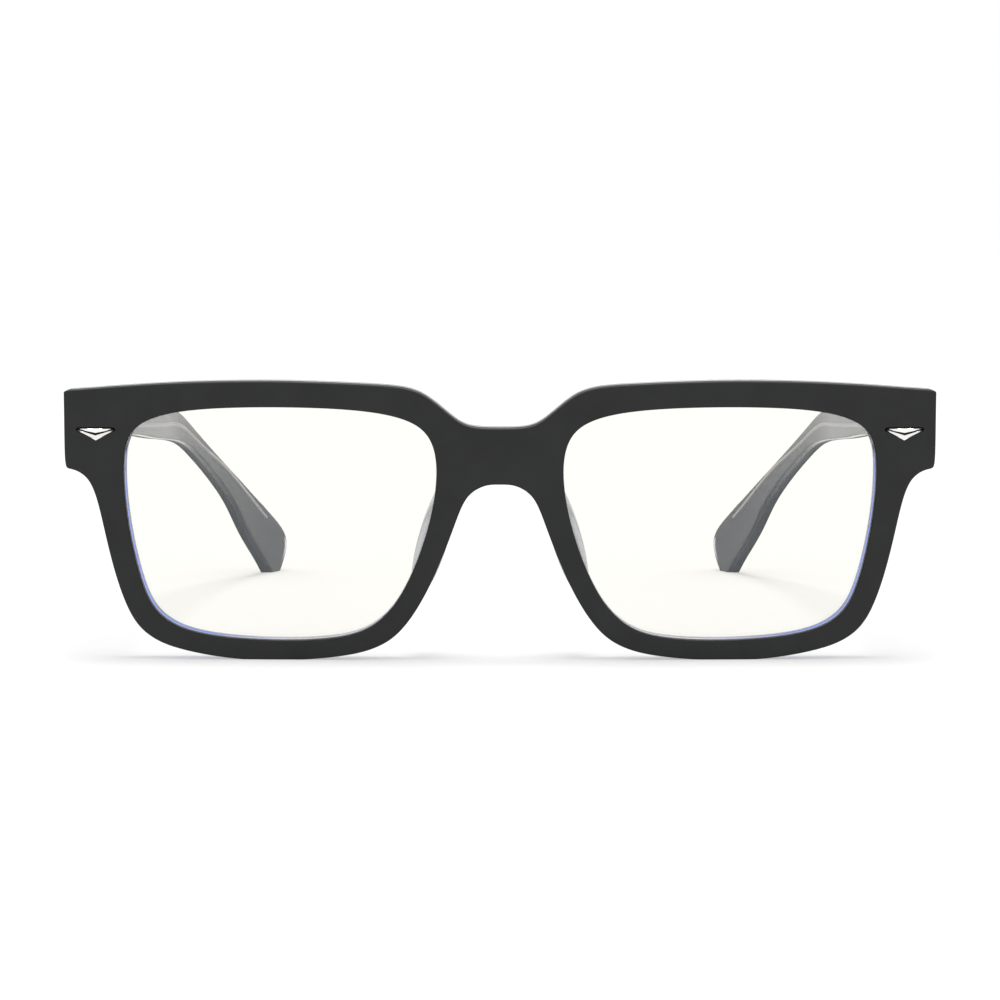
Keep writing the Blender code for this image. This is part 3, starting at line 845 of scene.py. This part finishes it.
    def plaque_solid(self, name: str, side: Side, spare: float, section: list[Triple]) -> bpy.types.Object:
        """A solid on the plaque's rounded triangle.

        Args:
            name: the piece's name.
            side: which end of the front.
            spare: mm added all round.
            section: (share of the way down, mm above the face, mark) round the cross-section.

        Returns:
            The solid.
        """
        share = np.sin(np.linspace(-math.pi / 2, math.pi / 2, self.plaque_steps))
        bulge = np.sqrt(np.maximum(1 - np.abs(share) ** self.plaque_corner_power, 0.0))
        across = share * (self.plaque_half + spare * self.pocket_spare_ends)
        corner = self.plaque_corner + spare
        shoulder = self.plaque_top + spare - corner
        upper = shoulder + corner * bulge
        drop = self.plaque_top - self.plaque_point + spare - corner
        lower = shoulder - drop * (1 - np.abs(share)) - self.plaque_sag * bulge
        down, above, mark = np.array(section).T
        height = upper[:, None] + (lower - upper)[:, None] * down
        centre = side.value * self.plaque_across
        flat = np.stack([centre + across[:, None] + 0 * height, -above + 0 * height, height], -1)
        skin = Skin()
        placed = self.space.place(flat)
        skin.grid(placed, mark, close_columns=True)
        skin.cap(placed[0])
        skin.cap(placed[-1])
        return skin.build(name, PLAQUE_SHARP)

    def build_plaque(self, side: Side) -> None:
        """One chevron: an upper facet and a lower facet with a V groove between them. Its marks paint shade
        into the groove and make the lower facet faintly darker towards it.
        """
        # marks: 1 paints shade into the V groove, and 0.12 to 0.03 makes the lower facet faintly darker
        section = [(0.0, -0.45, 0), (0.0, 0.22, 0), (0.07, 0.34, 0), (0.36, 0.20, 0), (0.38, 0.19, 1),
                   (0.42, -0.05, 1), (0.52, -0.05, 1), (0.56, 0.34, 1), (0.58, 0.36, 0.12),
                   (0.92, 0.18, 0.03), (1.0, 0.08, 0), (1.0, -0.45, 0)]
        plaque = self.plaque_solid(f"chevron_plaque_{side.label}", side, 0.0, section)
        self.finishes.dress(plaque, "polished_silver", "front", (f"plaque_{side.label}",))

    def build(self) -> None:
        """Every piece of the front."""
        self.build_face()
        self.build_backing()
        for side in Side:
            self.build_lens(side)
            self.build_nose_pad(side)
            self.build_plaque(side)
            for node in (f"front_hinge_leaf_{side.label}", f"hinge_screw_{side.label}"):
                self.finishes.repaint(node, "hinge_steel")


# ---------------------------------------------------------------- the temples


@dataclass
class Temple:
    """One temple: a black cover on a clear lining, with a core wire and a hinge leaf."""

    side: Side
    space: TempleSpace
    front: Front
    finishes: Finishes
    gap: float = 0.3
    end_out: float = 1.9  # the front's back is measured this far out from the inner face
    lining_thick: float = 1.45
    thick: float = 3.6
    edge_radius: float = 0.45
    edge_to_width: float = 0.3  # the edge radius is at most this share of the temple's width
    edge_mark: float = 0.8
    edge_steps: int = 6
    outline_steps: int = 6000
    length_steps: int = 260
    face_steps: int = 6
    wire_out: float = 1.4
    wire_radius: float = 0.42
    wire_steps: int = 240
    wire_round: int = 14
    leaf_end: float = 18.5
    leaf_centre: float = 38.3
    leaf_half_tall: float = 2.0
    leaf_thick: float = 0.85
    leaf_spare: float = 0.08
    tool_ahead: float = 2.0  # the carving tool runs this far out of the temple's end
    tool_inside: float = 1.0  # and this far out of its inner face

    def edges(self) -> tuple[np.ndarray, np.ndarray]:
        """Upper and lower edge lines, from the end at the front to the foot.

        Both run along the outline between the end face and the table, and have as many points,
        evenly spaced on each.

        Returns:
            Two rows of (back, height) points.
        """
        outline = Spline(np.array(TEMPLE_OUTLINE))
        line = outline.at(np.linspace(0, len(TEMPLE_OUTLINE), self.outline_steps, endpoint=False))
        lean = self.front.space.lean
        start = self.front.space.back_of(self.space.inner + self.end_out, self.front.depth + self.gap)
        ahead = line[:, 0] * math.cos(lean) + line[:, 1] * math.sin(lean) < start
        inside = ~ahead & (line[:, 1] > 0)
        runs = np.flatnonzero(np.diff(np.hstack([[0], inside.astype(int), [0]])))
        pieces = [line[first:last] for first, last in zip(runs[::2], runs[1::2])]
        upper, lower = pieces[0], pieces[-1][::-1]
        return self.even(upper), self.even(lower)

    def even(self, line: np.ndarray) -> np.ndarray:
        """The same line with evenly spaced points."""
        step = np.linalg.norm(np.diff(line, axis=0), axis=1)
        along = np.hstack([[0], np.cumsum(step)])
        wanted = np.linspace(0, along[-1], self.length_steps)
        return np.stack([np.interp(wanted, along, line[:, k]) for k in (0, 1)], -1)

    def section(self, layer: Layer) -> tuple[np.ndarray, ...]:
        """The cross-section of a sheet: square where it is laminated, round at the free face.

        Returns:
            Share of the way up, inset in edge radii, thickness in mm, thickness in radii, and mark,
            each with one number for every point of the section.
        """
        inset, depth = quarter(self.edge_steps)
        flat = np.linspace(0, 1, self.face_steps + 1)
        mark = self.edge_mark if layer is Layer.OUTER else 0.0
        if layer is Layer.INNER:
            join, free, sign = self.lining_thick + SKIN, 0.0, 1.0
        else:
            join, free, sign = self.lining_thick - SKIN, self.thick, -1.0
        rows = [(0.0, 0.0, join, 0.0, 0.0), (1.0, 0.0, join, 0.0, 0.0)]
        rows += [(1.0, -a, free, sign * b, mark) for a, b in zip(inset[::-1], depth[::-1])]
        rows += [(1 - s, -(1 - 2 * s), free, 0.0, 0.0) for s in flat[1:-1]]
        rows += [(0.0, a, free, sign * b, mark) for a, b in zip(inset, depth)]
        return tuple(np.array(rows).T)

    def build_sheet(self, name: str, layer: Layer, upper: np.ndarray, lower: np.ndarray) -> bpy.types.Object:
        """Carries the cross-section from the front end to the foot between the two edge lines."""
        share, inset, out, out_radii, mark = self.section(layer)
        wide = np.linalg.norm(upper - lower, axis=1)[:, None]
        radius = np.minimum(self.edge_radius, self.edge_to_width * wide)
        ratio = share + inset * radius / wide
        spot = lower[:, None] + (upper - lower)[:, None] * ratio[..., None]
        placed = self.space.place(self.side, spot[..., 0], out + out_radii * radius, spot[..., 1])
        skin = Skin()
        skin.grid(placed, mark, close_columns=True)
        skin.cap(placed[0])
        skin.cap(placed[-1])
        return skin.build(name)

    def build_wire(self) -> bpy.types.Object:
        """The core wire: a circle carried along its path, with rounded ends."""
        path = np.array(WIRE_PATH)
        path = np.vstack([path[:1], path[:1], path, path[-1:], path[-1:]])
        line = Spline(path, False).at(np.linspace(1, len(path) - 2, self.wire_steps))
        centre = self.space.place(self.side, line[:, 0], self.wire_out, line[:, 1])
        along = np.gradient(centre, axis=0)
        along /= np.linalg.norm(along, axis=1, keepdims=True)
        across = np.cross(along, (0, 0, 1.0))
        across /= np.linalg.norm(across, axis=1, keepdims=True)
        up = np.cross(across, along)
        turn = np.linspace(0, 2 * math.pi, self.wire_round, endpoint=False)[:, None]
        step = np.minimum(np.arange(len(centre)), np.arange(len(centre))[::-1])
        radius = self.wire_radius * MM * np.sqrt(1 - (1 - np.minimum(step / 2, 1)) ** 2)
        ring = np.cos(turn) * across[:, None] + np.sin(turn) * up[:, None]
        skin = Skin()
        skin.grid(centre[:, None] + ring * radius[:, None, None], close_columns=True)
        return skin.build(f"temple_wire_{self.side.label}")

    def place(self, spots: np.ndarray) -> np.ndarray:
        """Bends rows of (back, out, height) onto this temple."""
        return self.space.place(self.side, spots[:, 0], spots[:, 1], spots[:, 2])

    def build(self) -> None:
        """Both sheets, the wire and the hinge leaf."""
        label, body = self.side.label, f"temple_{self.side.label}"
        upper, lower = self.edges()
        lining = self.build_sheet(f"clear_lining_{label}", Layer.INNER, upper, lower)
        tall = self.leaf_half_tall + self.leaf_spare
        low = (-self.tool_ahead, -self.tool_inside, self.leaf_centre - tall)
        high = (self.leaf_end + self.leaf_spare, self.leaf_thick + self.leaf_spare, self.leaf_centre + tall)
        carve(lining, block(low, high, self.place))
        cover = self.build_sheet(f"black_cover_{label}", Layer.OUTER, upper, lower)
        self.finishes.dress(lining, "clear_acetate", body, (f"temple_lining_{label}",), "lilac_acetate")
        self.finishes.dress(cover, "black_acetate", body, (f"temple_cover_{label}",))
        self.finishes.dress(self.build_wire(), "hinge_steel", body, (f"core_wire_{label}",), "wire")
        self.finishes.repaint(f"temple_hinge_leaf_{label}", "hinge_steel")


# ---------------------------------------------------------------- the studio


@dataclass(frozen=True)
class Studio:
    """A white table under an even white sky, one soft light straight above, and the camera."""

    distance: float = 460.0  # from the front's middle
    eye: float = 64.65  # above the table
    down: float = math.radians(4.681)
    lens: float = 99.36
    sensor: float = 36.0
    near: float = 0.01  # metres
    far: float = 100.0
    table: float = 60.0  # metres across
    table_grain: float = 40.0
    table_grey: tuple[float, float] = (0.405, 0.415)
    glow: float = 0.42  # the table top is lit a little from below
    light: float = 2.2
    light_wide: float = math.radians(24.0)

    def build(self, origin_back: float) -> None:
        """Makes the camera, table, light and sky.

        Args:
            origin_back: Y of the front's middle, in mm.
        """
        camera = bpy.data.objects.new("camera", bpy.data.cameras.new("camera"))
        camera.data.lens, camera.data.sensor_width = self.lens, self.sensor
        camera.data.clip_start, camera.data.clip_end = self.near, self.far
        camera.location = (0.0, (origin_back - self.distance) * MM, self.eye * MM)
        camera.rotation_euler = (math.pi / 2 - self.down, 0.0, 0.0)
        bpy.context.scene.collection.objects.link(camera)
        bpy.context.scene.camera = camera
        self.build_table()
        light = bpy.data.objects.new("soft_light", bpy.data.lights.new("soft_light", "SUN"))
        light.data.energy, light.data.angle = self.light, self.light_wide
        light.visible_transmission = False  # it isn't seen through the clear sheets
        bpy.context.scene.collection.objects.link(light)
        scene = bpy.context.scene
        scene.view_settings.view_transform = "Standard"
        scene.world = bpy.data.worlds.new("sky")
        scene.world.use_nodes = True
        sky = scene.world.node_tree.nodes["Background"]
        sky.inputs["Color"].default_value = (1.0, 1.0, 1.0, 1.0)
        sky.inputs["Strength"].default_value = 1.0

    def build_table(self) -> None:
        """A plain white table top with a faint grain."""
        mesh = bpy.data.meshes.new("table")
        half = self.table / 2
        corners = [(-half, -half, 0), (half, -half, 0), (half, half, 0), (-half, half, 0)]
        mesh.from_pydata(corners, [], [(0, 1, 2, 3)])
        table = bpy.data.objects.new("table", mesh)
        bpy.context.scene.collection.objects.link(table)
        shader = Shader("table_white")
        shader.set(Roughness=0.9, Specular_IOR_Level=0.0, Emission_Color=(1.0, 1.0, 1.0, 1.0),
                   Emission_Strength=self.glow)
        greys = [(grey, grey, grey) for grey in self.table_grey]
        shader.link(shader.mix(shader.noise(self.table_grain), *greys), shader.main.inputs["Base Color"])
        mesh.materials.append(shader.material)


def front_origin(space: FrontSpace) -> float:
    """Where the front's middle lies along Y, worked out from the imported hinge, in mm."""
    hinge = next(joint for joint in frame["joints"] if joint["name"] == FOLD_JOINT)
    back = space.back_of(PIN_ACROSS, FRONT_DEPTH) + PIN_BEHIND
    designed = space.leaned(PIN_ACROSS, back, HINGE_HEIGHT)[1]
    return (hinge["pos_m"][1] - float(designed)) / MM


def main() -> None:
    """Builds the pieces in order."""
    logging.basicConfig(level=logging.INFO, format="%(name)s: %(message)s")
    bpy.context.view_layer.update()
    origin_back = front_origin(FrontSpace())
    log.info("front's middle at Y %.2f mm", origin_back)
    finishes = Finishes()
    front = Front(FrontSpace(origin_back=origin_back), finishes)
    front.build()
    for side in Side:
        Temple(side, TempleSpace(origin_back=origin_back), front, finishes).build()
    Studio().build(origin_back)


if __name__ == "__main__":
    main()
